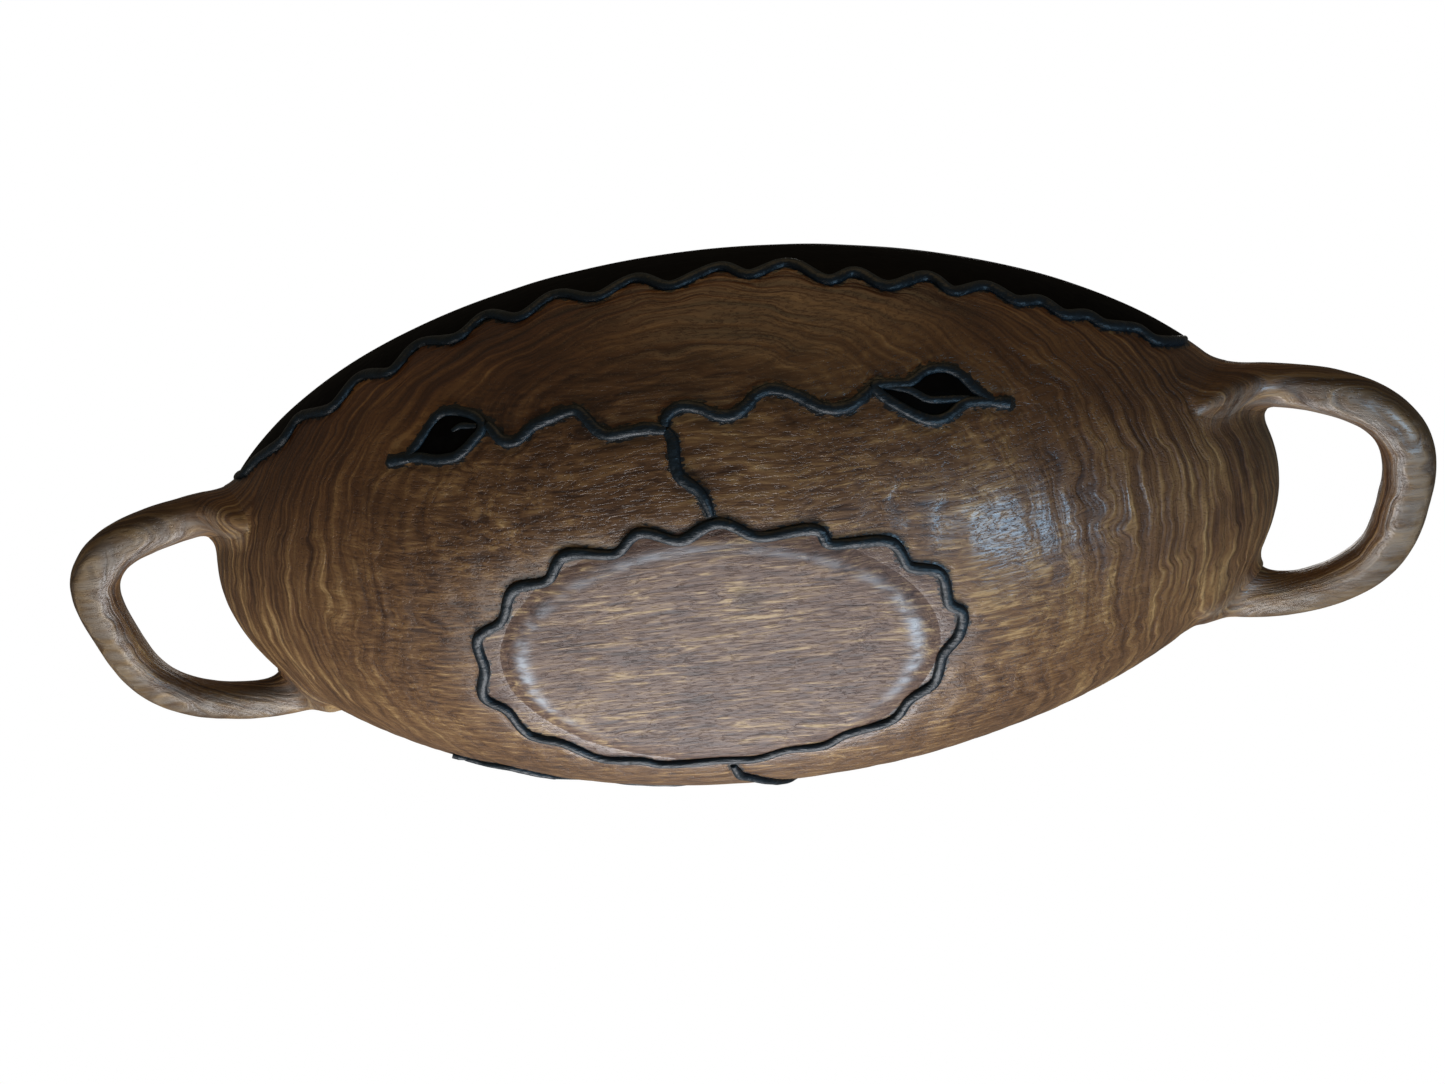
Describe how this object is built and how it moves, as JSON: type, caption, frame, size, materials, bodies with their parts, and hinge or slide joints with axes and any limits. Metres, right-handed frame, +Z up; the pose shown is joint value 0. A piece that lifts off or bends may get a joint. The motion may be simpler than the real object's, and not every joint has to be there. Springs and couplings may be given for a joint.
{
  "type": "carved wooden bowl",
  "caption": "Long oval carved wooden bowl with a loop handle at each end, a flat oval foot and blackened wavy cords, vines and leaves in relief on its outside.",
  "frame": {"origin": "centre of the flat face of the foot, on the surface that the bowl stands on", "axes": "+X along the bowl's length towards the right handle, -Y the carved front, +Z up towards the rim"},
  "size_m": [0.532, 0.2412, 0.0832],
  "materials": {
    "body_wood": "satin",
    "foot_wood": "satin",
    "handle_wood": "satin",
    "blackened_band": "satin",
    "blackened_relief": "satin"
  },
  "bodies": {
    "root": {"bowl_shell": "body_wood", "foot_pad": "foot_wood", "handle_left": "handle_wood", "handle_right": "handle_wood", "rim_band_front": "blackened_band", "rim_band_back": "blackened_band", "leaf_blade_front_left": "blackened_band", "leaf_blade_front_right": "blackened_band", "leaf_blade_back_left": "blackened_band", "leaf_blade_back_right": "blackened_band", "rim_cord_front": "blackened_relief", "rim_cord_back": "blackened_relief", "foot_cord": "blackened_relief", "stem_front": "blackened_relief", "stem_back": "blackened_relief", "branch_front_left": "blackened_relief", "branch_front_right": "blackened_relief", "branch_back_left": "blackened_relief", "branch_back_right": "blackened_relief", "leaf_rim_front_left": "blackened_relief", "leaf_rim_front_right": "blackened_relief", "leaf_rim_back_left": "blackened_relief", "leaf_rim_back_right": "blackened_relief", "leaf_tip_front_left": "blackened_relief", "leaf_tip_front_right": "blackened_relief", "leaf_tip_back_left": "blackened_relief", "leaf_tip_back_right": "blackened_relief", "leaf_rib_front_left": "blackened_relief", "leaf_rib_front_right": "blackened_relief", "leaf_rib_back_left": "blackened_relief", "leaf_rib_back_right": "blackened_relief"}
  },
  "joints": []
}
